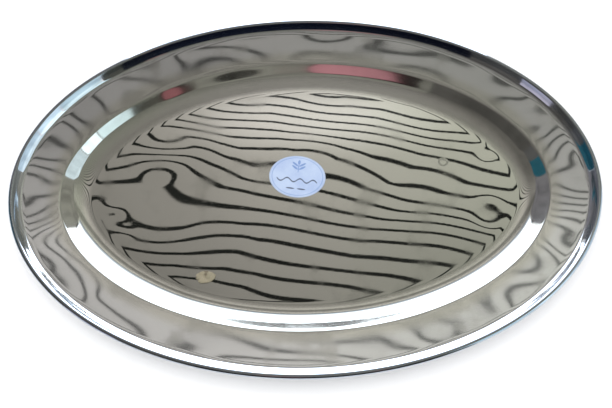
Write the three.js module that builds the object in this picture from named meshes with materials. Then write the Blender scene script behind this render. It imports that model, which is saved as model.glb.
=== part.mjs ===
// Oval stainless-steel serving tray: one pressed sheet with a shallow well, a wide
// flange, a turned-up lip and a curled edge, plus the oval product label stuck on
// the well's floor and a scrap of old adhesive tape.
// Millimetres, +X along the tray, +Y across it, +Z up, origin at the middle of the
// underside, so that the floor of the well rests on z = 0.
import * as THREE from "three";

// Overall sizes of the oval, measured over the curled edge.
const TRAY_LENGTH = 350;
const TRAY_WIDTH = 230;
const SHEET = 0.6; // gauge of the steel

// The section from the well's floor out to the edge, along the middle of the sheet.
const BLEND_RADIUS = 20; // hollow bend between the floor and the wall
const WALL_SLOPE = 42; // degrees from level
const WALL_LENGTH = 3.6; // straight part of the wall, along its slope
const SHOULDER_RADIUS = 3.6; // round bend between the wall and the flange
const FLANGE_SLOPE = 13;
const FLANGE_LENGTH = 20;
const LIP_RADIUS = 3.5; // hollow bend that turns the flange up into the lip
const LIP_SLOPE = 63;
const LIP_LENGTH = 2; // straight part of the lip, along its slope
const CURL_RADIUS = 1.4; // the edge is rolled outwards and down on this radius
const CURL_TURN = 270; // degrees, short of closed, so the roll stays open inside
const LATHE_FLOOR_RADIUS = 60; // plain circle that is later stretched onto the oval
const STEPS_ROUND = 96;
const CHORD_ERROR = 0.06; // most a bend's straight steps may miss its arc by

// The label and the scrap of tape lie just above the floor.
const GAP = 0.3; // clearance left under them
const LABEL_LENGTH = 35;
const LABEL_WIDTH = 29;
const LABEL_THICKNESS = 0.3;
const LABEL_AT = [-0.03, 0.143]; // shares of the floor's half length and half width
const LABEL_TURN = -8; // degrees about +Z
const SCRAP_LENGTH = 9.4;
const SCRAP_WIDTH = 7.4;
const SCRAP_THICKNESS = 0.3;
const SCRAP_AT = [-0.438, -0.745];
const SCRAP_TURN = 24;
const SCRAP_RAGGED = 0.1; // how far its torn edge waves in and out, as a share of its size

const radians = THREE.MathUtils.degToRad;

// The bends and straights of the section, from the well's floor outwards.
// A positive turn bends upwards, a negative one bends back down.
const SECTION = [
  { radius: BLEND_RADIUS, turn: WALL_SLOPE },
  { length: WALL_LENGTH },
  { radius: SHOULDER_RADIUS, turn: FLANGE_SLOPE - WALL_SLOPE },
  { length: FLANGE_LENGTH },
  { radius: LIP_RADIUS, turn: LIP_SLOPE - FLANGE_SLOPE },
  { length: LIP_LENGTH },
  { radius: CURL_RADIUS, turn: -CURL_TURN },
];

function stepsForBend(radius, turn) {
  const perStep = 2 * Math.acos(1 - CHORD_ERROR / radius);
  return Math.max(2, Math.ceil(Math.abs(radians(turn)) / perStep));
}

// One face of the sheet: the section's points moved square to it by `side`
// (half the gauge up for the top face, half down for the underside).
function faceOfSheet(side) {
  let at = new THREE.Vector2(0, SHEET / 2);
  let heading = 0;
  const points = [];
  const mark = () => {
    const square = new THREE.Vector2(-Math.sin(heading), Math.cos(heading));
    points.push(at.clone().addScaledVector(square, side));
  };
  mark();
  for (const { length, radius, turn } of SECTION) {
    if (length) {
      at.add(new THREE.Vector2(Math.cos(heading), Math.sin(heading)).multiplyScalar(length));
      mark();
      continue;
    }
    const steps = stepsForBend(radius, turn);
    const bend = Math.sign(turn) * radius;
    const centre = at.clone().add(
      new THREE.Vector2(-Math.sin(heading), Math.cos(heading)).multiplyScalar(bend));
    for (let i = 0; i < steps; i++) {
      heading += radians(turn) / steps;
      at = centre.clone().add(
        new THREE.Vector2(Math.sin(heading), -Math.cos(heading)).multiplyScalar(bend));
      mark();
    }
  }
  return points;
}

// How far in from its outer edge the tray's flat floor begins.
const REACH = Math.max(...faceOfSheet(SHEET / 2).map((p) => p.x));

// A point of the oval, `inset` in from its outer edge and square to that edge.
function onOval(inset, around) {
  const halfLength = TRAY_LENGTH / 2;
  const halfWidth = TRAY_WIDTH / 2;
  const outwards = new THREE.Vector2(
    Math.cos(around) / halfLength, Math.sin(around) / halfWidth).normalize();
  return new THREE.Vector2(halfLength * Math.cos(around), halfWidth * Math.sin(around))
    .addScaledVector(outwards, -inset);
}

// Turns the section into a round dish, then moves every point of the dish onto the
// oval: the section keeps its width all round, and only the flat floor is stretched.
function trayGeometry() {
  const top = faceOfSheet(SHEET / 2);
  const under = faceOfSheet(-SHEET / 2);
  const profile = [
    new THREE.Vector2(-LATHE_FLOOR_RADIUS, under[0].y),
    ...under,
    ...top.reverse(),
    new THREE.Vector2(-LATHE_FLOOR_RADIUS, top[top.length - 1].y),
  ].map((p) => new THREE.Vector2(p.x + LATHE_FLOOR_RADIUS, p.y));
  const dish = new THREE.LatheGeometry(profile, STEPS_ROUND).rotateX(Math.PI / 2);

  const position = dish.getAttribute("position");
  for (let i = 0; i < position.count; i++) {
    const x = position.getX(i);
    const y = position.getY(i);
    const radius = Math.hypot(x, y);
    const past = Math.max(0, radius - LATHE_FLOOR_RADIUS);
    const place = onOval(REACH - past, Math.atan2(y, x))
      .multiplyScalar(Math.min(1, radius / LATHE_FLOOR_RADIUS));
    position.setXY(i, place.x, place.y);
  }
  dish.computeVertexNormals();
  return dish;
}

function labelGeometry() {
  const outline = new THREE.Shape()
    .absellipse(0, 0, LABEL_LENGTH / 2, LABEL_WIDTH / 2, 0, 2 * Math.PI);
  return new THREE.ExtrudeGeometry(outline,
    { depth: LABEL_THICKNESS, bevelEnabled: false, curveSegments: 48 });
}

// A small torn oblong: an oval whose edge waves in and out.
function scrapGeometry() {
  const points = [];
  for (let i = 0; i < 36; i++) {
    const around = (i / 36) * 2 * Math.PI;
    const wave = 1 - SCRAP_RAGGED * (Math.cos(3 * around + 1) + 0.5 * Math.sin(7 * around)) / 1.5;
    points.push(new THREE.Vector2(
      (SCRAP_LENGTH / 2) * wave * Math.cos(around),
      (SCRAP_WIDTH / 2) * wave * Math.sin(around)));
  }
  return new THREE.ExtrudeGeometry(new THREE.Shape(points),
    { depth: SCRAP_THICKNESS, bevelEnabled: false });
}

function mesh(name, geometry, colour, roughness, metalness) {
  const made = new THREE.Mesh(geometry,
    new THREE.MeshStandardMaterial({ color: colour, roughness, metalness }));
  made.name = name;
  return made;
}

function layOnFloor(piece, [alongShare, acrossShare], turn) {
  piece.position.set(
    alongShare * (TRAY_LENGTH / 2 - REACH),
    acrossShare * (TRAY_WIDTH / 2 - REACH),
    SHEET + GAP);
  piece.rotation.z = radians(turn);
  return piece;
}

const tray = new THREE.Group();
tray.name = "serving_tray";
tray.add(mesh("tray_body", trayGeometry(), 0xc9c8c4, 0.12, 1));
tray.add(layOnFloor(
  mesh("product_label", labelGeometry(), 0xd9dfeb, 0.45, 0), LABEL_AT, LABEL_TURN));
tray.add(layOnFloor(
  mesh("tape_scrap", scrapGeometry(), 0xcfc6a0, 0.6, 0), SCRAP_AT, SCRAP_TURN));

export default tray;
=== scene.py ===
import math
import random

import bpy
from bpy.props import FloatProperty, FloatVectorProperty, IntProperty, PointerProperty
from mathutils import Matrix, Vector


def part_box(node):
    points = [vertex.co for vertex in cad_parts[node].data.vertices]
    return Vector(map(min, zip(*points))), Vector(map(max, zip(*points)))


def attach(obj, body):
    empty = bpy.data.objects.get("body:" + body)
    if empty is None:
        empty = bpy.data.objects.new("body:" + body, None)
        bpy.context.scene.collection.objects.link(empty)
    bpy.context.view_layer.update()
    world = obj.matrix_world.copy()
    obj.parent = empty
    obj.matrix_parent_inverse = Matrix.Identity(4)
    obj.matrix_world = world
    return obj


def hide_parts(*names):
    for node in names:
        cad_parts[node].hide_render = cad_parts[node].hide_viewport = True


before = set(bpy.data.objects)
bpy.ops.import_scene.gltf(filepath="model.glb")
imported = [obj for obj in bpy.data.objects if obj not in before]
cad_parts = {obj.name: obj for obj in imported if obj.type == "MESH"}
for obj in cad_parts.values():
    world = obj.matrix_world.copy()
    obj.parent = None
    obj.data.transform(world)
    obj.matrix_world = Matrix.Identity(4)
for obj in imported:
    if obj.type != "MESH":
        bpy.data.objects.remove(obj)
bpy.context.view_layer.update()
TRAY_LOW, TRAY_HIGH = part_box("tray_body")
LABEL_LOW, LABEL_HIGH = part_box("product_label")
SCRAP_LOW, SCRAP_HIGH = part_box("tape_scrap")
MM = 0.001

bl_info = {
    "name": "Oval serving tray",
    "version": (1, 0, 0),
    "blender": (4, 5, 0),
    "location": "View3D > Sidebar > Tray",
    "description": "Models a polished steel serving tray with its label, a scrap of tape and its stage",
    "category": "Object",
}

# Hollows and swellings of the thin sheet: middle along and across the tray, reach and height (mm).
DENTS = (
    (-90, -4, 62, -0.50),
    (-92, 0, 36, -0.13),
    (-88, 24, 20, 0.11),
    (-6, -30, 72, -0.36),
    (75, -60, 50, -0.20),
    (-60, 44, 40, 0.16),
    (-12, 50, 44, 0.26),
    (36, 46, 44, 0.26),
    (78, 34, 36, 0.12),
    (112, -15, 13, -0.075),
    (114, 25, 8, -0.05),
    (-117, -9, 7, 0.025),
    (-114, -17, 7, -0.03),
    (-109, -25, 8, 0.03),
    (-52, -40, 26, -0.06),
    (-158, 2, 36, 0.20),
    (-134, -44, 30, 0.26),
    (-146, 44, 26, -0.12),
    (-104, 76, 34, -0.34),
    (-44, 98, 32, 0.28),
    (12, 96, 28, -0.24),
    (70, 90, 34, 0.34),
    (132, 60, 28, -0.18),
    (160, 4, 36, 0.30),
    (128, -60, 26, 0.20),
    (80, -84, 24, -0.16),
    (10, -98, 32, 0.12),
    (-70, -86, 30, -0.12),
    (-166, 16, 17, -0.075),
    (-150, 34, 16, 0.065),
    (-165, -22, 17, -0.07),
    (-147, -38, 16, 0.06),
    (166, -12, 17, -0.08),
    (152, -34, 16, 0.065),
    (164, 28, 17, -0.075),
    (148, 42, 16, 0.065),
)

# Screens round the tray, each part of a drum about it: the two turns between which it stands
# (degrees from +X), its distance, its lowest and highest edge (m), its colour and strength,
# and the heights (m) over which its light fades in from its foot and out towards its top.
SCREENS = (
    ("window_back", 61, 119, 2.0, -0.02, 1.86, (0.82, 0.90, 1.0), 9.0, 0.15, 1.4),
    ("sill_plant", 106, 116, 1.9, 0.10, 0.36, (0.30, 0.36, 0.48), 0.35, 0, 0),
    ("sill_vase", 66, 74, 1.9, 0.04, 0.26, (0.36, 0.42, 0.55), 0.45, 0, 0),
    ("wall_right", 14, 61, 1.3, -0.02, 1.30, (0.92, 0.92, 0.80), 0.34, 0, 0),
    ("window_right_a", -14, 14, 1.25, -0.02, 1.60, (0.76, 0.92, 1.0), 1.3, 0, 0),
    ("window_right_b", -32, -15, 1.25, -0.02, 1.60, (0.78, 0.93, 1.0), 1.9, 0, 0),
    ("window_right_c", -51, -33, 1.25, -0.02, 1.60, (0.72, 0.90, 0.95), 1.4, 0, 0),
    ("curtain_right", -67, -51.5, 1.25, -0.02, 1.60, (0.90, 0.90, 0.74), 0.10, 0, 0),
    ("wall_front", -113, -66, 0.95, 0.60, 1.85, (0.92, 0.92, 0.80), 0.27, 0, 0),
    ("clothes", -118, -60, 0.75, -0.02, 0.60, (0.22, 0.33, 0.75), 0.022, 0, 0),
    ("wall_left_front", -170, -112, 1.2, -0.02, 1.60, (0.95, 0.92, 0.85), 0.10, 0, 0),
    ("sheen_left", -152, -136, 1.15, 0.07, 0.50, (0.85, 0.82, 1.0), 0.75, 0, 0),
    ("edge_left", -182, -170, 1.2, -0.02, 1.25, (0.9, 0.9, 0.9), 0.12, 0, 0),
    ("teal_door", -200, -182, 1.2, -0.02, 1.25, (0.06, 0.36, 0.50), 0.33, 0, 0),
    ("wall_left", 119, 160, 1.3, -0.02, 1.25, (0.86, 0.84, 0.90), 0.24, 0, 0),
)

# Rounded things in front of the screens: turn (degrees from +X), distance, height, half width
# and half height (m), colour and strength.
ROUND_THINGS = (
    ("shade_small", -70, 0.74, 0.93, 0.055, 0.16, (0.5, 0.5, 0.4), 0.03),
    ("hand_small", -70, 0.66, 0.82, 0.036, 0.12, (1.0, 0.38, 0.42), 0.42),
    ("lens", -82, 0.70, 0.84, 0.045, 0.035, (0.6, 0.6, 0.5), 0.05),
    ("shade_large", -100, 0.74, 0.93, 0.125, 0.16, (0.5, 0.5, 0.4), 0.015),
    ("hand_large", -98, 0.66, 0.82, 0.090, 0.12, (1.0, 0.46, 0.52), 0.50),
)


# Facets along each bend and straight of the section, from the floor outwards.
SECTION_STEPS = {"blend": 16, "wall": 3, "shoulder": 10, "flange": 12, "lip_bend": 12, "lip": 2, "curl": 26}

# Heights over which the finish of the steel changes; the last two also bring in the painted bluish
# reflection of the flange and the painted shade of the lip.
FLOOR_TO_WALL = (1.2 * MM, 3.0 * MM)
WALL_TO_FLANGE = (9.0 * MM, 10.5 * MM)
FLANGE_TO_LIP = (14.2 * MM, 15.5 * MM)

# The dried water mark, the patch near the back of the floor where a highlight is painted into the steel's
# colour, and the patch's half sizes.
WATER_MARK_AT = (86.5 * MM, 18.5 * MM)
PAINTED_HIGHLIGHT_AT = (6 * MM, 56 * MM)
PAINTED_HIGHLIGHT_HALF = (66 * MM, 24 * MM)

# What smudges, scratches and dried marks add to the roughness of the steel.
SMUDGE_ROUGHNESS = 0.035
SCRATCH_ROUGHNESS = 0.05
MARK_ROUGHNESS = 0.16

# Colours of the label's paper and inks, and of the tape.
PAPER_DEEP = (0.35, 0.44, 0.64)
PAPER_PALE = (0.42, 0.51, 0.68)
PAPER_FIBRE = (0.52, 0.60, 0.72)
PAPER_EDGE = (0.25, 0.30, 0.36)
BLUE_INK = (0.09, 0.19, 0.45)
BLACK_INK = (0.02, 0.025, 0.06)
TAPE_PALE = (0.25, 0.215, 0.14)
TAPE_DEEP = (0.20, 0.18, 0.115)
# Dark brown of the tape's darker patches, which are placed by noise.
TAPE_DARK_PATCH = (0.10, 0.07, 0.04)
TAPE_GRAIN = (0.34, 0.30, 0.21)

STICK_GAP = 0.05 * MM  # film of adhesive between the floor and what is stuck on it
FLOOR_DROP = 0.8 * MM  # the pale floor clears the hollows of the tray's underside
WORLD_COLOUR = (0.97, 0.98, 1.0)
CAMERA_TARGET = (1.5 * MM, -14.5 * MM, 16.2 * MM)


class TraySection(bpy.types.PropertyGroup):
    """The pressed sheet, from the floor of the well out to the curled edge."""

    gauge: FloatProperty(name="Gauge", description="Thickness of the steel sheet",
                         default=0.6 * MM, unit="LENGTH", precision=5)
    blend_radius: FloatProperty(name="Blend radius", description="Hollow bend at the foot of the wall",
                                default=20 * MM, unit="LENGTH", precision=5)
    wall_slope: FloatProperty(name="Wall slope", description="Steepest slope of the wall",
                              default=math.radians(37.6), unit="ROTATION")
    wall_length: FloatProperty(name="Wall length", description="Straight part of the wall",
                               default=5.4 * MM, unit="LENGTH", precision=5)
    shoulder_radius: FloatProperty(name="Shoulder radius", description="Round bend at the top of the wall",
                                   default=3.6 * MM, unit="LENGTH", precision=5)
    flange_slope: FloatProperty(name="Flange slope", description="Rise of the flange towards the edge",
                                default=math.radians(11), unit="ROTATION")
    flange_bow: FloatProperty(name="Flange bow", description="Turn of the hollow bow across the flange",
                              default=math.radians(1.1), unit="ROTATION")
    flange_length: FloatProperty(name="Flange length", description="Straight part of the flange",
                                 default=20 * MM, unit="LENGTH", precision=5)
    lip_radius: FloatProperty(name="Lip radius", description="Hollow bend that turns the lip up",
                              default=3.5 * MM, unit="LENGTH", precision=5)
    lip_slope: FloatProperty(name="Lip slope", description="Slope of the lip at its crest",
                             default=math.radians(57), unit="ROTATION")
    lip_length: FloatProperty(name="Lip length", description="Straight part of the lip",
                              default=3.5 * MM, unit="LENGTH", precision=5)
    curl_radius: FloatProperty(name="Curl radius", description="Radius that the edge is rolled on",
                               default=1.4 * MM, unit="LENGTH", precision=5)
    curl_turn: FloatProperty(name="Curl turn", description="How far round the edge is rolled",
                             default=math.radians(270), unit="ROTATION")
    steps_round: IntProperty(name="Steps round", description="Facets round the oval", default=320)
    floor_rings: IntProperty(name="Floor rings", description="Rings of facets on the floor", default=44)


class TrayFinish(bpy.types.PropertyGroup):
    """The polish and the small unevenness of the pressed sheet."""

    steel_colour: FloatVectorProperty(name="Steel", description="Reflection colour of the clean steel",
                                      subtype="COLOR", default=(0.74, 0.735, 0.70))
    # Painted reflection: a brighter, bluish reflection colour painted on the flange.
    painted_rim_reflection: FloatVectorProperty(name="Rim steel", description="Reflection colour of the flange",
                                    subtype="COLOR", default=(0.76, 0.77, 0.80))
    # Painted shade: a darker, bluish reflection colour painted on the lip and the curl.
    painted_lip_shade: FloatVectorProperty(name="Lip steel", description="Reflection colour of lip and curl",
                                    subtype="COLOR", default=(0.50, 0.54, 0.60))
    dull_colour: FloatVectorProperty(name="Dull steel", description="Reflection colour under smudges",
                                     subtype="COLOR", default=(0.62, 0.62, 0.585))
    # Painted highlight: a brighter reflection colour painted on a patch at the back of the floor.
    painted_highlight_colour: FloatVectorProperty(name="Wiped steel", description="Reflection colour where it is wiped",
                                      subtype="COLOR", default=(0.94, 0.93, 0.92))
    waviness: FloatProperty(name="Waviness", description="Height of the sheet's long waves",
                            default=0.10 * MM, unit="LENGTH", precision=6)
    wave_size: FloatProperty(name="Wave size", description="Width of the sheet's long waves",
                             default=46 * MM, unit="LENGTH", precision=5)
    floor_polish: FloatProperty(name="Floor polish", description="Roughness of the well's floor",
                                subtype="FACTOR", default=0.012)
    flange_polish: FloatProperty(name="Flange polish", description="Roughness of the flange",
                                 subtype="FACTOR", default=0.033)
    lip_polish: FloatProperty(name="Lip polish", description="Roughness of the wall and the lip",
                              subtype="FACTOR", default=0.06)
    haze: FloatProperty(name="Haze", description="Strength of the haze of fine polishing lines",
                        subtype="FACTOR", default=0.5)
    smudge_size: FloatProperty(name="Smudge size", description="Width of the wiped smudges",
                               default=26 * MM, unit="LENGTH", precision=5)
    ring_radius: FloatProperty(name="Water mark", description="Radius of the dried water mark",
                               default=2.6 * MM, unit="LENGTH", precision=5)


class LabelSizes(bpy.types.PropertyGroup):
    """The oval label on the floor of the well."""

    length: FloatProperty(name="Length", description="Longer side of the label",
                          default=35 * MM, unit="LENGTH", precision=5)
    width: FloatProperty(name="Width", description="Shorter side of the label",
                         default=28 * MM, unit="LENGTH", precision=5)
    thickness: FloatProperty(name="Thickness", description="Thickness of the film",
                             default=0.12 * MM, unit="LENGTH", precision=6)
    turn: FloatProperty(name="Turn", description="How far the label is stuck askew",
                        default=math.radians(-8), unit="ROTATION")
    steps_round: IntProperty(name="Steps round", description="Facets round the label", default=96)
    rings: IntProperty(name="Rings", description="Rings of facets on the label", default=12)


class ScrapSizes(bpy.types.PropertyGroup):
    """The scrap of old tape near the front of the floor."""

    length: FloatProperty(name="Length", description="Longer side of the scrap",
                          default=11.2 * MM, unit="LENGTH", precision=5)
    width: FloatProperty(name="Width", description="Shorter side of the scrap",
                         default=7.4 * MM, unit="LENGTH", precision=5)
    thickness: FloatProperty(name="Thickness", description="Thickness of the tape",
                             default=0.14 * MM, unit="LENGTH", precision=6)
    turn: FloatProperty(name="Turn", description="Turn of the scrap on the floor",
                        default=math.radians(6), unit="ROTATION")
    ragged: FloatProperty(name="Ragged edge", description="How far the torn edge waves in and out",
                          subtype="FACTOR", default=0.14)
    crease: FloatProperty(name="Crease", description="Height of the folds", default=0.35 * MM,
                          unit="LENGTH", precision=6)
    steps_round: IntProperty(name="Steps round", description="Facets round the scrap", default=60)
    rings: IntProperty(name="Rings", description="Rings of facets on the scrap", default=12)
    seed: IntProperty(name="Seed", description="Picks the outline that the tape is torn to", default=7)


class StageSizes(bpy.types.PropertyGroup):
    """The overhead panels, the lights and the camera."""

    ceiling_height: FloatProperty(name="Ceiling height", description="Height of the overhead panels",
                                  default=1.9, unit="LENGTH")
    panel_pitch: FloatProperty(name="Panel pitch", description="Pitch of the overhead panels",
                               default=0.050, unit="LENGTH")
    panel_gap: FloatProperty(name="Panel gap", description="Dark gap between overhead panels",
                             default=0.0115, unit="LENGTH", precision=4)
    panel_count: IntProperty(name="Panels", description="Number of overhead panels", default=84)
    panel_length: FloatProperty(name="Panel length", description="Length of each overhead panel",
                                default=6.5, unit="LENGTH")
    first_panel: FloatProperty(name="First panel", description="Place of the frontmost overhead panel",
                               default=-1.5, unit="LENGTH")
    panel_turn: FloatProperty(name="Panel turn", description="Turn of the panels against the tray",
                              default=math.radians(-11), unit="ROTATION")
    lamp_height: FloatProperty(name="Lamp height", description="Height of the soft lamp",
                               default=1.6, unit="LENGTH")
    lamp_length: FloatProperty(name="Lamp length", description="Longer side of the soft lamp",
                               default=1.6, unit="LENGTH")
    lamp_width: FloatProperty(name="Lamp width", description="Shorter side of the soft lamp",
                              default=1.4, unit="LENGTH")
    lamp_power: FloatProperty(name="Lamp power", description="Power of the soft lamp (W)", default=12)
    world_light: FloatProperty(name="World light", description="Strength of the even light all round",
                               default=1.0)
    camera_elevation: FloatProperty(name="Camera elevation", description="Height angle of the camera",
                                    default=math.radians(68.0), unit="ROTATION")
    camera_azimuth: FloatProperty(name="Camera azimuth", description="Turn of the camera from the front",
                                  default=math.radians(2.3), unit="ROTATION")
    camera_roll: FloatProperty(name="Camera roll", description="Roll of the camera about its own axis",
                               default=math.radians(-3.0), unit="ROTATION")
    camera_distance: FloatProperty(name="Camera distance", description="From the camera to its target",
                                   default=0.4136, unit="LENGTH", precision=4)
    camera_lens: FloatProperty(name="Lens", description="Focal length on a 36 mm sensor (mm)",
                               default=41.65)


def settings():
    return bpy.context.scene.serving_tray


# ---------------------------------------------------------------- shared steps

def deselect_all():
    if bpy.context.object and bpy.context.object.mode != "OBJECT":
        bpy.ops.object.mode_set(mode="OBJECT")
    bpy.ops.object.select_all(action="DESELECT")


def make_active(piece):
    deselect_all()
    piece.select_set(True)
    bpy.context.view_layer.objects.active = piece


def name_active(name):
    made = bpy.context.object
    made.name = name
    made.data.name = name
    return made


def apply_modifiers(piece):
    for modifier in list(piece.modifiers):
        bpy.ops.object.modifier_apply(modifier=modifier.name)


def settle(piece):
    """Leaves the object at the origin, unturned and unscaled, with its place in its mesh."""
    make_active(piece)
    bpy.ops.object.transform_apply(location=True, rotation=True, scale=True)


def oval_blank(name, half_length, half_width, height, steps):
    """A flat oval face, left selected in edit mode."""
    deselect_all()
    bpy.ops.mesh.primitive_circle_add(vertices=steps, radius=1, fill_type="NGON", location=(0, 0, 0))
    blank = name_active(name)
    bpy.ops.object.mode_set(mode="EDIT")
    bpy.ops.mesh.select_mode(type="FACE")
    bpy.ops.mesh.select_all(action="SELECT")
    bpy.ops.transform.resize(value=(half_length, half_width, 1), center_override=(0, 0, 0))
    bpy.ops.transform.translate(value=(0, 0, height))
    return blank


def shrink_rings(count):
    """Rings of facets that close the selected face in towards the origin."""
    for ring in range(count, 1, -1):
        share = (ring - 1) / ring
        bpy.ops.mesh.extrude_region_move()
        bpy.ops.transform.resize(value=(share, share, 1), center_override=(0, 0, 0))
    bpy.ops.mesh.poke()


def lay_on(piece, base, gap):
    """Lets the flat piece follow the surface of the base just below it."""
    follow = piece.modifiers.new("follow", "SHRINKWRAP")
    follow.target = base
    follow.wrap_method = "PROJECT"
    follow.use_project_z = True
    follow.use_negative_direction = True
    follow.use_positive_direction = False
    follow.offset = gap


# ---------------------------------------------------------------- shader helpers

class Shader:
    """A new material with short ways to add and link its nodes."""

    def __init__(self, name):
        self.material = bpy.data.materials.new(name)
        self.material.use_nodes = True
        self.tree = self.material.node_tree
        self.bsdf = self.tree.nodes["Principled BSDF"]

    def plug(self, socket, value):
        if isinstance(value, bpy.types.NodeSocket):
            self.tree.links.new(value, socket)
        else:
            socket.default_value = value

    def add(self, kind, **inputs):
        node = self.tree.nodes.new(kind)
        for name, value in inputs.items():
            self.plug(node.inputs[name], value)
        return node

    def place(self):
        return self.tree.nodes.new("ShaderNodeTexCoord").outputs["Object"]

    def local(self, middle, turn):
        """Object coordinates measured from a middle and turned by an angle."""
        mapping = self.add("ShaderNodeMapping", Vector=self.place(),
                           Location=(middle.x, middle.y, 0), Rotation=(0, 0, turn))
        mapping.vector_type = "TEXTURE"
        return mapping.outputs["Vector"]

    def split(self, vector):
        parts = self.add("ShaderNodeSeparateXYZ", Vector=vector)
        return parts.outputs["X"], parts.outputs["Y"], parts.outputs["Z"]

    def calc(self, operation, first, second=0.0):
        node = self.tree.nodes.new("ShaderNodeMath")
        node.operation = operation
        self.plug(node.inputs[0], first)
        self.plug(node.inputs[1], second)
        return node.outputs["Value"]

    def fade(self, value, low, high, out_low=0.0, out_high=1.0):
        node = self.add("ShaderNodeMapRange", Value=value)
        node.interpolation_type = "SMOOTHSTEP"
        node.inputs["From Min"].default_value = low
        node.inputs["From Max"].default_value = high
        node.inputs["To Min"].default_value = out_low
        node.inputs["To Max"].default_value = out_high
        return node.outputs["Result"]

    def noise(self, scale, detail, vector=None):
        node = self.add("ShaderNodeTexNoise", Vector=vector or self.place(), Scale=scale, Detail=detail)
        return node.outputs["Fac"]

    def stretched(self, vector, factors):
        node = self.tree.nodes.new("ShaderNodeVectorMath")
        node.operation = "MULTIPLY"
        self.plug(node.inputs[0], vector)
        self.plug(node.inputs[1], factors)
        return node.outputs["Vector"]

    def mix(self, share, first, second):
        node = self.tree.nodes.new("ShaderNodeMix")
        node.data_type = "RGBA"
        self.plug(node.inputs["Factor"], share)
        for socket, colour in ((node.inputs[6], first), (node.inputs[7], second)):
            self.plug(socket, colour if isinstance(colour, bpy.types.NodeSocket) else (*colour, 1))
        return node.outputs[2]

    def ellipse(self, x, y, half_length, half_width):
        """1 at the rim of the ellipse, 0 at its middle."""
        along = self.calc("POWER", self.calc("DIVIDE", x, half_length), 2)
        across = self.calc("POWER", self.calc("DIVIDE", y, half_width), 2)
        return self.calc("SQRT", self.calc("ADD", along, across))

    def dab(self, x, y, middle_x, middle_y, half_length, half_width, soft=0.12):
        """A soft-edged oval spot."""
        rim = self.ellipse(self.calc("SUBTRACT", x, middle_x), self.calc("SUBTRACT", y, middle_y),
                           half_length, half_width)
        return self.fade(rim, 1 - soft, 1 + soft, 1, 0)

    def either(self, *masks):
        total = masks[0]
        for mask in masks[1:]:
            total = self.calc("MAXIMUM", total, mask)
        return total

    def bump(self, height, strength, distance):
        node = self.add("ShaderNodeBump", Height=height, Strength=strength, Distance=distance)
        return node.outputs["Normal"]

    def shine(self, colour, strength):
        """Turns the material into a light of its own and returns it."""
        self.tree.nodes.remove(self.bsdf)
        emission = self.add("ShaderNodeEmission", Color=colour, Strength=strength)
        self.plug(self.tree.nodes["Material Output"].inputs["Surface"], emission.outputs["Emission"])
        return self.material


# ---------------------------------------------------------------- tray body

def section_line():
    """Middle of the sheet as (distance out from the floor's edge, height), floor first."""
    s = settings().section
    bends = {
        "blend": (s.blend_radius, s.wall_slope),
        "wall": (None, s.wall_length),
        "shoulder": (s.shoulder_radius, s.flange_slope - s.flange_bow / 2 - s.wall_slope),
        "flange": (s.flange_length / s.flange_bow, s.flange_bow),
        "lip_bend": (s.lip_radius, s.lip_slope - s.flange_bow / 2 - s.flange_slope),
        "lip": (None, s.lip_length),
        "curl": (s.curl_radius, -s.curl_turn),
    }
    at = Vector((0, s.gauge / 2))
    heading = 0.0
    points = [at.copy()]
    for name, (radius, amount) in bends.items():
        steps = SECTION_STEPS[name]
        for _ in range(steps):
            if radius is None:
                at += Vector((math.cos(heading), math.sin(heading))) * amount / steps
            else:
                half = amount / steps / 2
                chord = 2 * radius * math.sin(abs(half))
                heading += half
                at += Vector((math.cos(heading), math.sin(heading))) * chord
                heading += half
            points.append(at.copy())
    return points


def inset_rings(points):
    """Steps the selected face inwards and up or down, one ring for each next point of the section."""
    for before, after in zip(points, points[1:]):
        bpy.ops.mesh.inset(thickness=before.x - after.x, depth=after.y - before.y,
                           use_even_offset=True, use_boundary=True)


def press_dents(body):
    """Pulls one vertex of the sheet for each dent, and its surroundings with it."""
    make_active(body)
    bpy.ops.object.mode_set(mode="EDIT")
    bpy.ops.mesh.select_mode(type="VERT")
    for x, y, reach, height in DENTS:
        bpy.ops.mesh.select_all(action="DESELECT")
        bpy.ops.object.mode_set(mode="OBJECT")
        middle = Vector((x * MM, y * MM))
        nearest = min(body.data.vertices, key=lambda vertex: (vertex.co.xy - middle).length)
        nearest.select = True
        bpy.ops.object.mode_set(mode="EDIT")
        bpy.ops.transform.translate(value=(0, 0, height * MM), use_proportional_edit=True,
                                    proportional_edit_falloff="SMOOTH", proportional_size=reach * MM)
    bpy.ops.object.mode_set(mode="OBJECT")


def add_waves(body, half_length, half_width):
    """Long shallow waves in the polished sheet, none at the curled edge."""
    finish = settings().finish
    group = body.vertex_groups.new(name="wavy")
    for vertex in body.data.vertices:
        share = math.hypot(vertex.co.x / half_length, vertex.co.y / half_width)
        weight = min(1.0, max(0.0, (0.985 - share) / 0.1))
        group.add([vertex.index], weight * weight * (3 - 2 * weight), "REPLACE")
    waves = bpy.data.textures.new("sheet_waves", "CLOUDS")
    waves.noise_basis = "IMPROVED_PERLIN"
    waves.noise_scale = finish.wave_size
    waves.noise_depth = 0
    ripple = body.modifiers.new("waves", "DISPLACE")
    ripple.texture = waves
    ripple.texture_coords = "LOCAL"
    ripple.direction = "Z"
    ripple.mid_level = 0.5
    ripple.strength = finish.waviness * 2
    ripple.vertex_group = group.name


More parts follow.
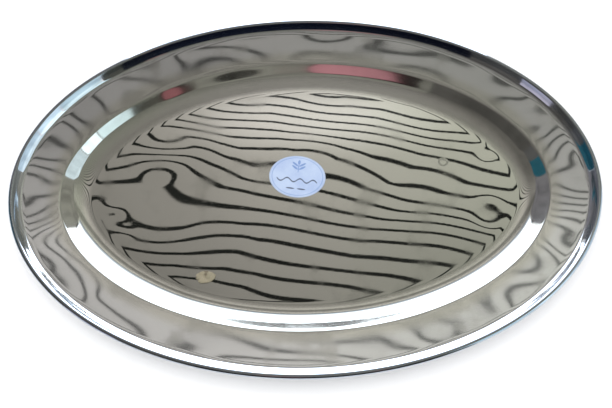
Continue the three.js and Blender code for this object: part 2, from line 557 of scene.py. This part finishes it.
class TRAY_OT_press_body(bpy.types.Operator):
    """Press the oval dish from one sheet, roll its edge and give it its waves"""

    bl_idname = "tray.press_body"
    bl_label = "Press tray body"

    def execute(self, context):
        s = settings().section
        points = section_line()
        outermost = max(range(len(points)), key=lambda i: points[i].x)
        height = points[outermost].y
        half_length = (TRAY_HIGH.x - TRAY_LOW.x) / 2 - s.gauge / 2
        half_width = (TRAY_HIGH.y - TRAY_LOW.y) / 2 - s.gauge / 2

        body = oval_blank("tray_sheet", half_length, half_width, height, s.steps_round)
        inset_rings(points[outermost::-1])
        shrink_rings(s.floor_rings)
        bpy.ops.object.mode_set(mode="OBJECT")

        under_curl = oval_blank("tray_curl", half_length, half_width, height, s.steps_round)
        inset_rings(points[outermost:])
        bpy.ops.mesh.delete(type="ONLY_FACE")
        bpy.ops.mesh.select_all(action="SELECT")
        bpy.ops.mesh.flip_normals()
        bpy.ops.object.mode_set(mode="OBJECT")

        deselect_all()
        under_curl.select_set(True)
        body.select_set(True)
        context.view_layer.objects.active = body
        bpy.ops.object.join()
        bpy.ops.object.mode_set(mode="EDIT")
        bpy.ops.mesh.select_all(action="SELECT")
        bpy.ops.mesh.remove_doubles(threshold=0.01 * MM)
        bpy.ops.object.mode_set(mode="OBJECT")

        press_dents(body)
        add_waves(body, half_length, half_width)
        sheet = body.modifiers.new("gauge", "SOLIDIFY")
        sheet.thickness = s.gauge
        sheet.offset = 0
        sheet.use_even_offset = True
        apply_modifiers(body)
        bpy.ops.object.shade_smooth_by_angle(angle=math.radians(50))
        body.data.materials.append(polished_steel())
        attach(body, "root")
        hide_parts("tray_body")
        return {"FINISHED"}


def polished_steel():
    """Mirror polish, softer on the flange, with smudges, wiping scratches and a dried water mark, and with
    painted light: a painted highlight at the back of the floor, a painted bluish reflection on the flange
    and painted shade on the lip.
    """
    finish = settings().finish
    steel = Shader("polished_steel")
    place = steel.place()
    x, y, z = steel.split(place)

    floor_to_wall = steel.fade(z, *FLOOR_TO_WALL)
    wall_to_flange = steel.fade(z, *WALL_TO_FLANGE)
    flange_to_lip = steel.fade(z, *FLANGE_TO_LIP)

    smudges = steel.fade(steel.noise(1 / finish.smudge_size, 4.0), 0.50, 0.72)
    specks = steel.fade(steel.noise(1400, 2.0), 0.70, 0.80)
    wipes = steel.noise(1.0, 2.0, steel.stretched(place, (90, 2600, 90)))
    scratches = steel.fade(wipes, 0.66, 0.78)
    mark_x, mark_y = WATER_MARK_AT
    from_mark = steel.ellipse(steel.calc("SUBTRACT", x, mark_x), steel.calc("SUBTRACT", y, mark_y),
                              finish.ring_radius, finish.ring_radius * 0.9)
    mark = steel.fade(steel.calc("ABSOLUTE", steel.calc("SUBTRACT", from_mark, 1)), 0.1, 0.35, 1, 0)

    rough = finish.floor_polish
    for share, change in (
            (floor_to_wall, finish.lip_polish - finish.floor_polish),
            (wall_to_flange, finish.flange_polish - finish.lip_polish),
            (flange_to_lip, finish.lip_polish - finish.flange_polish),
            (smudges, SMUDGE_ROUGHNESS),
            (scratches, SCRATCH_ROUGHNESS),
            (steel.either(mark, specks), MARK_ROUGHNESS)):
        rough = steel.calc("ADD", rough, steel.calc("MULTIPLY", share, change))

    dull = steel.either(steel.calc("MULTIPLY", smudges, 0.45), steel.calc("MULTIPLY", mark, 0.8),
                        steel.calc("MULTIPLY", specks, 0.6))
    # Painted highlight: the reflection colour is painted brighter on this patch at the back of the floor.
    painted_highlight = steel.dab(x, y, *PAINTED_HIGHLIGHT_AT, *PAINTED_HIGHLIGHT_HALF, 0.7)
    # Painted reflection: the flange gets a brighter, bluish colour painted in.
    colour = steel.mix(wall_to_flange, finish.steel_colour, finish.painted_rim_reflection)
    # Painted shade: the lip and the curl get a darker, bluish colour painted in.
    colour = steel.mix(flange_to_lip, colour, finish.painted_lip_shade)
    colour = steel.mix(dull, colour, finish.dull_colour)
    steel.plug(steel.bsdf.inputs["Base Color"], steel.mix(painted_highlight, colour, finish.painted_highlight_colour))
    steel.plug(steel.bsdf.inputs["Roughness"], rough)
    steel.bsdf.inputs["Metallic"].default_value = 1
    steel.bsdf.inputs["Coat Roughness"].default_value = 0.42
    steel.bsdf.inputs["Coat IOR"].default_value = 1.9
    steel.plug(steel.bsdf.inputs["Coat Weight"], steel_haze(steel, x, z, painted_highlight, wipes))
    steel.plug(steel.bsdf.inputs["Normal"], steel.bump(wipes, 0.06, 0.004 * MM))
    return steel.material


def steel_haze(steel, x, z, painted_highlight, wipes):
    """Haze of fine polishing lines: little on the floor, most on the flange and on the patch with the
    painted highlight.
    """
    haze = settings().finish.haze
    hazy = steel.calc("MAXIMUM", steel.fade(z, FLOOR_TO_WALL[0], 10 * MM, haze / 4, haze),
                      steel.calc("MULTIPLY", painted_highlight, 0.85))
    less_to_left = steel.fade(x, -150 * MM, 150 * MM, 0.65, 1)
    less_on_lip = steel.fade(z, *FLANGE_TO_LIP, 1, 0.4)
    uneven = steel.fade(wipes, 0.2, 0.8, 0.7, 1)
    for share in (less_to_left, less_on_lip, uneven):
        hazy = steel.calc("MULTIPLY", hazy, share)
    return hazy


# ---------------------------------------------------------------- label and scrap

class TRAY_OT_stick_label(bpy.types.Operator):
    """Stick the oval label on the floor of the well"""

    bl_idname = "tray.stick_label"
    bl_label = "Stick label"

    def execute(self, context):
        sizes = settings().label
        middle = (LABEL_LOW + LABEL_HIGH) / 2
        label = oval_blank("label_film", sizes.length / 2, sizes.width / 2, 0, sizes.steps_round)
        shrink_rings(sizes.rings)
        bpy.ops.object.mode_set(mode="OBJECT")
        label.rotation_euler.z = sizes.turn
        label.location = (middle.x, middle.y, LABEL_HIGH.z)
        settle(label)
        lay_on(label, bpy.data.objects["tray_sheet"], STICK_GAP)
        film = label.modifiers.new("film", "SOLIDIFY")
        film.thickness = sizes.thickness
        film.offset = 1
        apply_modifiers(label)
        bpy.ops.object.shade_smooth_by_angle(angle=math.radians(40))
        label.data.materials.append(label_film(middle))
        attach(label, "root")
        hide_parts("product_label")
        return {"FINISHED"}


def leafy_sprig(film, x, y):
    """A stem with a bud on it and two pairs of leaning leaves."""
    parts = [film.dab(x, y, 0, 6.2 * MM, 0.28 * MM, 3.6 * MM),
             film.dab(x, y, 0, 9.6 * MM, 0.8 * MM, 1.5 * MM)]
    for side in (-1, 1):
        lean = film.calc("ADD", y, film.calc("MULTIPLY", x, -0.6 * side))
        for height in (4.6 * MM, 6.8 * MM):
            parts.append(film.dab(x, lean, side * 2.3 * MM, height, 1.9 * MM, 0.75 * MM))
    return film.either(*parts)


def wavy_rule(film, x, y):
    """A wavy line across the label, a little below its middle."""
    wave = film.calc("MULTIPLY", film.calc("SINE", film.calc("MULTIPLY", x, 780)), 1.2 * MM)
    off_rule = film.calc("ABSOLUTE", film.calc("SUBTRACT", film.calc("ADD", y, 2.6 * MM), wave))
    line = film.fade(off_rule, 0.34 * MM, 0.5 * MM, 1, 0)
    ends = film.fade(film.calc("ABSOLUTE", x), 12.4 * MM, 12.7 * MM, 1, 0)
    return film.calc("MULTIPLY", line, ends)


def label_film(middle):
    """Pale blue paper with a plain rim line, a leafy sprig, a wavy rule and two bars."""
    sizes = settings().label
    film = Shader("label_film")
    x, y, _ = film.split(film.local(middle, sizes.turn))
    rim = film.ellipse(x, y, sizes.length / 2, sizes.width / 2)
    rim_line = film.fade(film.calc("ABSOLUTE", film.calc("SUBTRACT", rim, 0.90)), 0.012, 0.022, 1, 0)
    bars = [film.dab(x, y, across, -8.2 * MM, 2.6 * MM, 0.45 * MM, 0.08) for across in (-3.4 * MM, 3.4 * MM)]

    fibres = film.noise(900, 3.0)
    tone = film.noise(70, 2.0)
    paper = film.mix(film.fade(tone, 0.35, 0.65), PAPER_DEEP, PAPER_PALE)
    paper = film.mix(film.calc("MULTIPLY", film.fade(fibres, 0.45, 0.75), 0.25), paper, PAPER_FIBRE)
    paper = film.mix(film.fade(rim, 0.93, 1.0, 0, 0.35), paper, PAPER_EDGE)
    blue = film.either(film.calc("MULTIPLY", leafy_sprig(film, x, y), 0.75),
                       film.calc("MULTIPLY", rim_line, 0.45))
    black = film.calc("MULTIPLY", film.either(wavy_rule(film, x, y), *bars), 0.9)
    printed = film.mix(black, film.mix(blue, paper, BLUE_INK), BLACK_INK)
    film.plug(film.bsdf.inputs["Base Color"], printed)
    film.plug(film.bsdf.inputs["Roughness"], film.fade(fibres, 0.3, 0.7, 0.38, 0.55))
    film.plug(film.bsdf.inputs["Normal"], film.bump(fibres, 0.25, 0.03 * MM))
    return film.material


class TRAY_OT_drop_scrap(bpy.types.Operator):
    """Leave the crumpled scrap of old tape on the floor"""

    bl_idname = "tray.drop_scrap"
    bl_label = "Drop tape scrap"

    def execute(self, context):
        sizes = settings().scrap
        middle = (SCRAP_LOW + SCRAP_HIGH) / 2
        scrap = oval_blank("tape_crumple", 1, 1, 0, sizes.steps_round)
        shrink_rings(sizes.rings)
        bpy.ops.object.mode_set(mode="OBJECT")
        self.tear(scrap, sizes)
        scrap.rotation_euler.z = sizes.turn
        scrap.location = (middle.x, middle.y, SCRAP_HIGH.z)
        settle(scrap)
        lay_on(scrap, bpy.data.objects["tray_sheet"], STICK_GAP)
        bpy.ops.object.modifier_apply(modifier="follow")
        self.crumple(scrap, middle, sizes)
        tape = scrap.modifiers.new("tape", "SOLIDIFY")
        tape.thickness = sizes.thickness
        tape.offset = 1
        apply_modifiers(scrap)
        bpy.ops.object.shade_smooth_by_angle(angle=math.radians(35))
        scrap.data.materials.append(old_tape())
        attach(scrap, "root")
        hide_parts("tape_scrap")
        return {"FINISHED"}

    def tear(self, scrap, sizes):
        """Gives the round blank its length, its width and its torn outline."""
        rng = random.Random(sizes.seed)
        steps = [rng.uniform(-1, 1) for _ in range(11)]
        for vertex in scrap.data.vertices:
            around = math.atan2(vertex.co.y, vertex.co.x)
            ragged = sum(step * math.cos((k + 2) * around + 5 * step) / (k + 2)
                         for k, step in enumerate(steps))
            share = 1 + sizes.ragged * ragged
            vertex.co.x *= sizes.length / 2 * share
            vertex.co.y *= sizes.width / 2 * share

    def crumple(self, scrap, middle, sizes):
        """Lifts the scrap in a few sharp folds; it only touches down between them."""
        for vertex in scrap.data.vertices:
            away = Vector((vertex.co.x - middle.x, vertex.co.y - middle.y)) / sizes.length
            along = away.x * math.cos(1.0) + away.y * math.sin(1.0)
            folds = abs(math.sin(7.5 * along + 0.6)) + 0.5 * abs(math.sin(11 * away.x - 4 * away.y))
            vertex.co.z += sizes.crease * folds


def old_tape():
    """Yellowed tape with darker brown patches here and there."""
    tape = Shader("old_tape")
    patches = tape.noise(330, 3.0)
    grain = tape.noise(2200, 2.0)
    colour = tape.mix(tape.fade(patches, 0.35, 0.62), TAPE_PALE, TAPE_DEEP)
    # Darker brown patches wherever the noise runs high.
    colour = tape.mix(tape.fade(patches, 0.55, 0.66, 0, 0.85), colour, TAPE_DARK_PATCH)
    colour = tape.mix(tape.fade(grain, 0.60, 0.75, 0, 0.4), colour, TAPE_GRAIN)
    tape.plug(tape.bsdf.inputs["Base Color"], colour)
    tape.plug(tape.bsdf.inputs["Roughness"], tape.fade(grain, 0.3, 0.7, 0.5, 0.75))
    tape.plug(tape.bsdf.inputs["Normal"], tape.bump(grain, 0.4, 0.05 * MM))
    return tape.material


# ---------------------------------------------------------------- stage

def glow(name, colour, strength, foot=None, top=None):
    """A screen's own light, a little uneven; foot and top are heights over which it fades."""
    screen = Shader(name)
    uneven = screen.fade(screen.noise(5.0, 3.0), 0.3, 0.7, strength * 0.65, strength)
    if foot and top:
        _, _, z = screen.split(screen.place())
        uneven = screen.calc("MULTIPLY", uneven, screen.fade(z, *foot, 0.10, 1))
        uneven = screen.calc("MULTIPLY", uneven, screen.fade(z, *top, 1, 0.04))
    return screen.shine((*colour, 1), uneven)


def panel_glow():
    """Overhead panels: brighter towards the back and next to the window, dim over the left."""
    panel = Shader("panel_glow")
    x, y, _ = panel.split(panel.place())
    strength = panel.fade(y, 0.35, 1.08, 0.245, 0.44)
    dim_at_front = panel.fade(y, -1.6, -0.2, 0.6, 1.0)
    dim_at_left = panel.fade(x, -0.9, 0.1, 0.55, 1.0)
    dim_before_window = panel.fade(y, 1.15, 1.35, 1.0, 0.6)
    bright_over_window = panel.fade(y, 1.45, 2.0, 1.0, 2.6)
    for share in (dim_at_front, dim_at_left, dim_before_window, bright_over_window):
        strength = panel.calc("MULTIPLY", strength, share)
    lit_patch = panel.calc("MULTIPLY", panel.dab(x, y, -0.03, 1.11, 0.45, 0.16, 0.7), 0.11)
    strength = panel.calc("MULTIPLY", panel.calc("ADD", strength, lit_patch), 1.3)
    warm_to_green = panel.mix(panel.fade(x, -0.3, 0.8), (1.0, 0.96, 0.88), (0.98, 1.0, 0.85))
    return panel.shine(warm_to_green, strength)


def dress_screen(screen, material):
    """Screens light and reflect, but the camera doesn't see them and they cast no shadow."""
    screen.data.materials.append(material)
    screen.visible_camera = False
    screen.visible_shadow = False
    screen.visible_diffuse = False


def side_screen(name, start, end, radius, low, high, colour, strength, foot, top):
    """The part of a drum round the tray between two turns."""
    deselect_all()
    span = math.radians(end - start)
    facets = max(2, round((end - start) / 4))
    bpy.ops.mesh.primitive_plane_add(size=1)
    screen = name_active(name)
    bpy.ops.object.mode_set(mode="EDIT")
    bpy.ops.mesh.select_mode(type="VERT")
    bpy.ops.mesh.select_all(action="SELECT")
    bpy.ops.transform.resize(value=(0, high - low, 1))
    bpy.ops.mesh.remove_doubles(threshold=0.1 * MM)
    bpy.ops.transform.rotate(value=math.radians(90), orient_axis="X", center_override=(0, 0, 0))
    bpy.ops.transform.translate(value=(radius, 0, (low + high) / 2))
    bpy.ops.mesh.spin(steps=facets, angle=-span, center=(0, 0, 0), axis=(0, 0, 1))
    bpy.ops.object.mode_set(mode="OBJECT")
    screen.rotation_euler.z = math.radians(start)
    settle(screen)
    fades = ((low, low + foot), (high - top, high)) if foot else ()
    dress_screen(screen, glow(name, colour, strength, *fades))


def round_thing(name, turn, distance, height, half_width, half_height, colour, strength):
    """A flattened ball that faces the tray."""
    deselect_all()
    around = math.radians(turn)
    bpy.ops.mesh.primitive_uv_sphere_add(segments=32, ring_count=16, radius=1)
    ball = name_active(name)
    ball.scale = (half_width / 2, half_width, half_height)
    ball.rotation_euler.z = around
    ball.location = (distance * math.cos(around), distance * math.sin(around), height)
    settle(ball)
    bpy.ops.object.shade_smooth()
    dress_screen(ball, glow(name, colour, strength))


def overhead_panels():
    """A ceiling of long panels with dark gaps between them."""
    sizes = settings().stage
    deselect_all()
    bpy.ops.mesh.primitive_plane_add(size=1)
    panels = name_active("overhead_panels")
    panels.scale = (sizes.panel_length, sizes.panel_pitch - sizes.panel_gap, 1)
    settle(panels)
    row = panels.modifiers.new("row", "ARRAY")
    row.count = sizes.panel_count
    row.use_relative_offset = False
    row.use_constant_offset = True
    row.constant_offset_displace = (0, sizes.panel_pitch, 0)
    apply_modifiers(panels)
    panels.rotation_euler.z = sizes.panel_turn
    first = Vector((0, sizes.first_panel, sizes.ceiling_height))
    panels.location = Matrix.Rotation(sizes.panel_turn, 3, "Z") @ first
    settle(panels)
    dress_screen(panels, panel_glow())
    deselect_all()
    bpy.ops.mesh.primitive_plane_add(size=7, location=(0, 0.6, sizes.ceiling_height + 0.02))
    backing = name_active("overhead_gaps")
    settle(backing)
    dress_screen(backing, glow("gap_dark", (0.9, 1.0, 0.85), 0.015))


def pale_floor():
    """A plain, pale, dull surface for the tray to stand on."""
    deselect_all()
    bpy.ops.mesh.primitive_plane_add(size=8, location=(0, 0, -FLOOR_DROP))
    floor = name_active("pale_floor")
    settle(floor)
    pale = Shader("pale_floor")
    mottled = pale.mix(pale.noise(2.0, 2.0), (0.90, 0.90, 0.90), (0.93, 0.93, 0.93))
    pale.plug(pale.bsdf.inputs["Base Color"], mottled)
    pale.bsdf.inputs["Roughness"].default_value = 0.8
    pale.bsdf.inputs["Specular IOR Level"].default_value = 0
    floor.data.materials.append(pale.material)


def soft_lamp():
    """A large lamp just in front of the tray's middle that lights it without showing in the polish."""
    sizes = settings().stage
    deselect_all()
    bpy.ops.object.light_add(type="AREA", location=(0, -0.1, sizes.lamp_height))
    lamp = bpy.context.object
    lamp.name = "soft_lamp"
    lamp.data.shape = "RECTANGLE"
    lamp.data.size = sizes.lamp_length
    lamp.data.size_y = sizes.lamp_width
    lamp.data.energy = sizes.lamp_power
    lamp.visible_glossy = False
    lamp.visible_camera = False


def soft_world():
    world = bpy.data.worlds.new("soft_world")
    bpy.context.scene.world = world
    world.use_nodes = True
    background = world.node_tree.nodes["Background"]
    background.inputs["Color"].default_value = (*WORLD_COLOUR, 1)
    background.inputs["Strength"].default_value = settings().stage.world_light


def place_camera():
    """Stands the camera in front of the tray, looking down at a point in front of its middle."""
    sizes = settings().stage
    target = Vector(CAMERA_TARGET)
    level = math.cos(sizes.camera_elevation)
    back = Vector((math.sin(sizes.camera_azimuth) * level, -math.cos(sizes.camera_azimuth) * level,
                   math.sin(sizes.camera_elevation)))
    deselect_all()
    bpy.ops.object.camera_add()
    camera = bpy.context.object
    camera.name = "camera"
    camera.location = target + back * sizes.camera_distance
    camera.rotation_mode = "QUATERNION"
    facing = (-back).to_track_quat("-Z", "Y")
    camera.rotation_quaternion = facing @ Matrix.Rotation(sizes.camera_roll, 3, "Z").to_quaternion()
    camera.data.lens = sizes.camera_lens
    camera.data.clip_start = 0.01
    camera.data.dof.use_dof = False
    bpy.context.scene.camera = camera


class TRAY_OT_set_stage(bpy.types.Operator):
    """Lay the pale floor, hang the overhead panels, set the screens, lights and camera"""

    bl_idname = "tray.set_stage"
    bl_label = "Set stage"

    def execute(self, context):
        pale_floor()
        overhead_panels()
        for screen in SCREENS:
            side_screen(*screen)
        for thing in ROUND_THINGS:
            round_thing(*thing)
        soft_lamp()
        soft_world()
        place_camera()
        context.scene.view_settings.view_transform = "Standard"
        return {"FINISHED"}


# ---------------------------------------------------------------- add-on

class TraySettings(bpy.types.PropertyGroup):
    """All sizes and colours of the tray and its stage."""

    section: PointerProperty(type=TraySection)
    finish: PointerProperty(type=TrayFinish)
    label: PointerProperty(type=LabelSizes)
    scrap: PointerProperty(type=ScrapSizes)
    stage: PointerProperty(type=StageSizes)


OPERATORS = (TRAY_OT_press_body, TRAY_OT_stick_label, TRAY_OT_drop_scrap, TRAY_OT_set_stage)


class VIEW3D_PT_serving_tray(bpy.types.Panel):
    """Lists the steps that model the tray"""

    bl_label = "Serving tray"
    bl_space_type = "VIEW_3D"
    bl_region_type = "UI"
    bl_category = "Tray"

    def draw(self, context):
        for operator in OPERATORS:
            self.layout.operator(operator.bl_idname)


CLASSES = (TraySection, TrayFinish, LabelSizes, ScrapSizes, StageSizes, TraySettings,
           *OPERATORS, VIEW3D_PT_serving_tray)


def register():
    for cls in CLASSES:
        bpy.utils.register_class(cls)
    bpy.types.Scene.serving_tray = PointerProperty(type=TraySettings)


def unregister():
    del bpy.types.Scene.serving_tray
    for cls in reversed(CLASSES):
        bpy.utils.unregister_class(cls)


def main():
    register()
    bpy.ops.tray.press_body()
    bpy.ops.tray.stick_label()
    bpy.ops.tray.drop_scrap()
    bpy.ops.tray.set_stage()


if __name__ == "__main__":
    main()
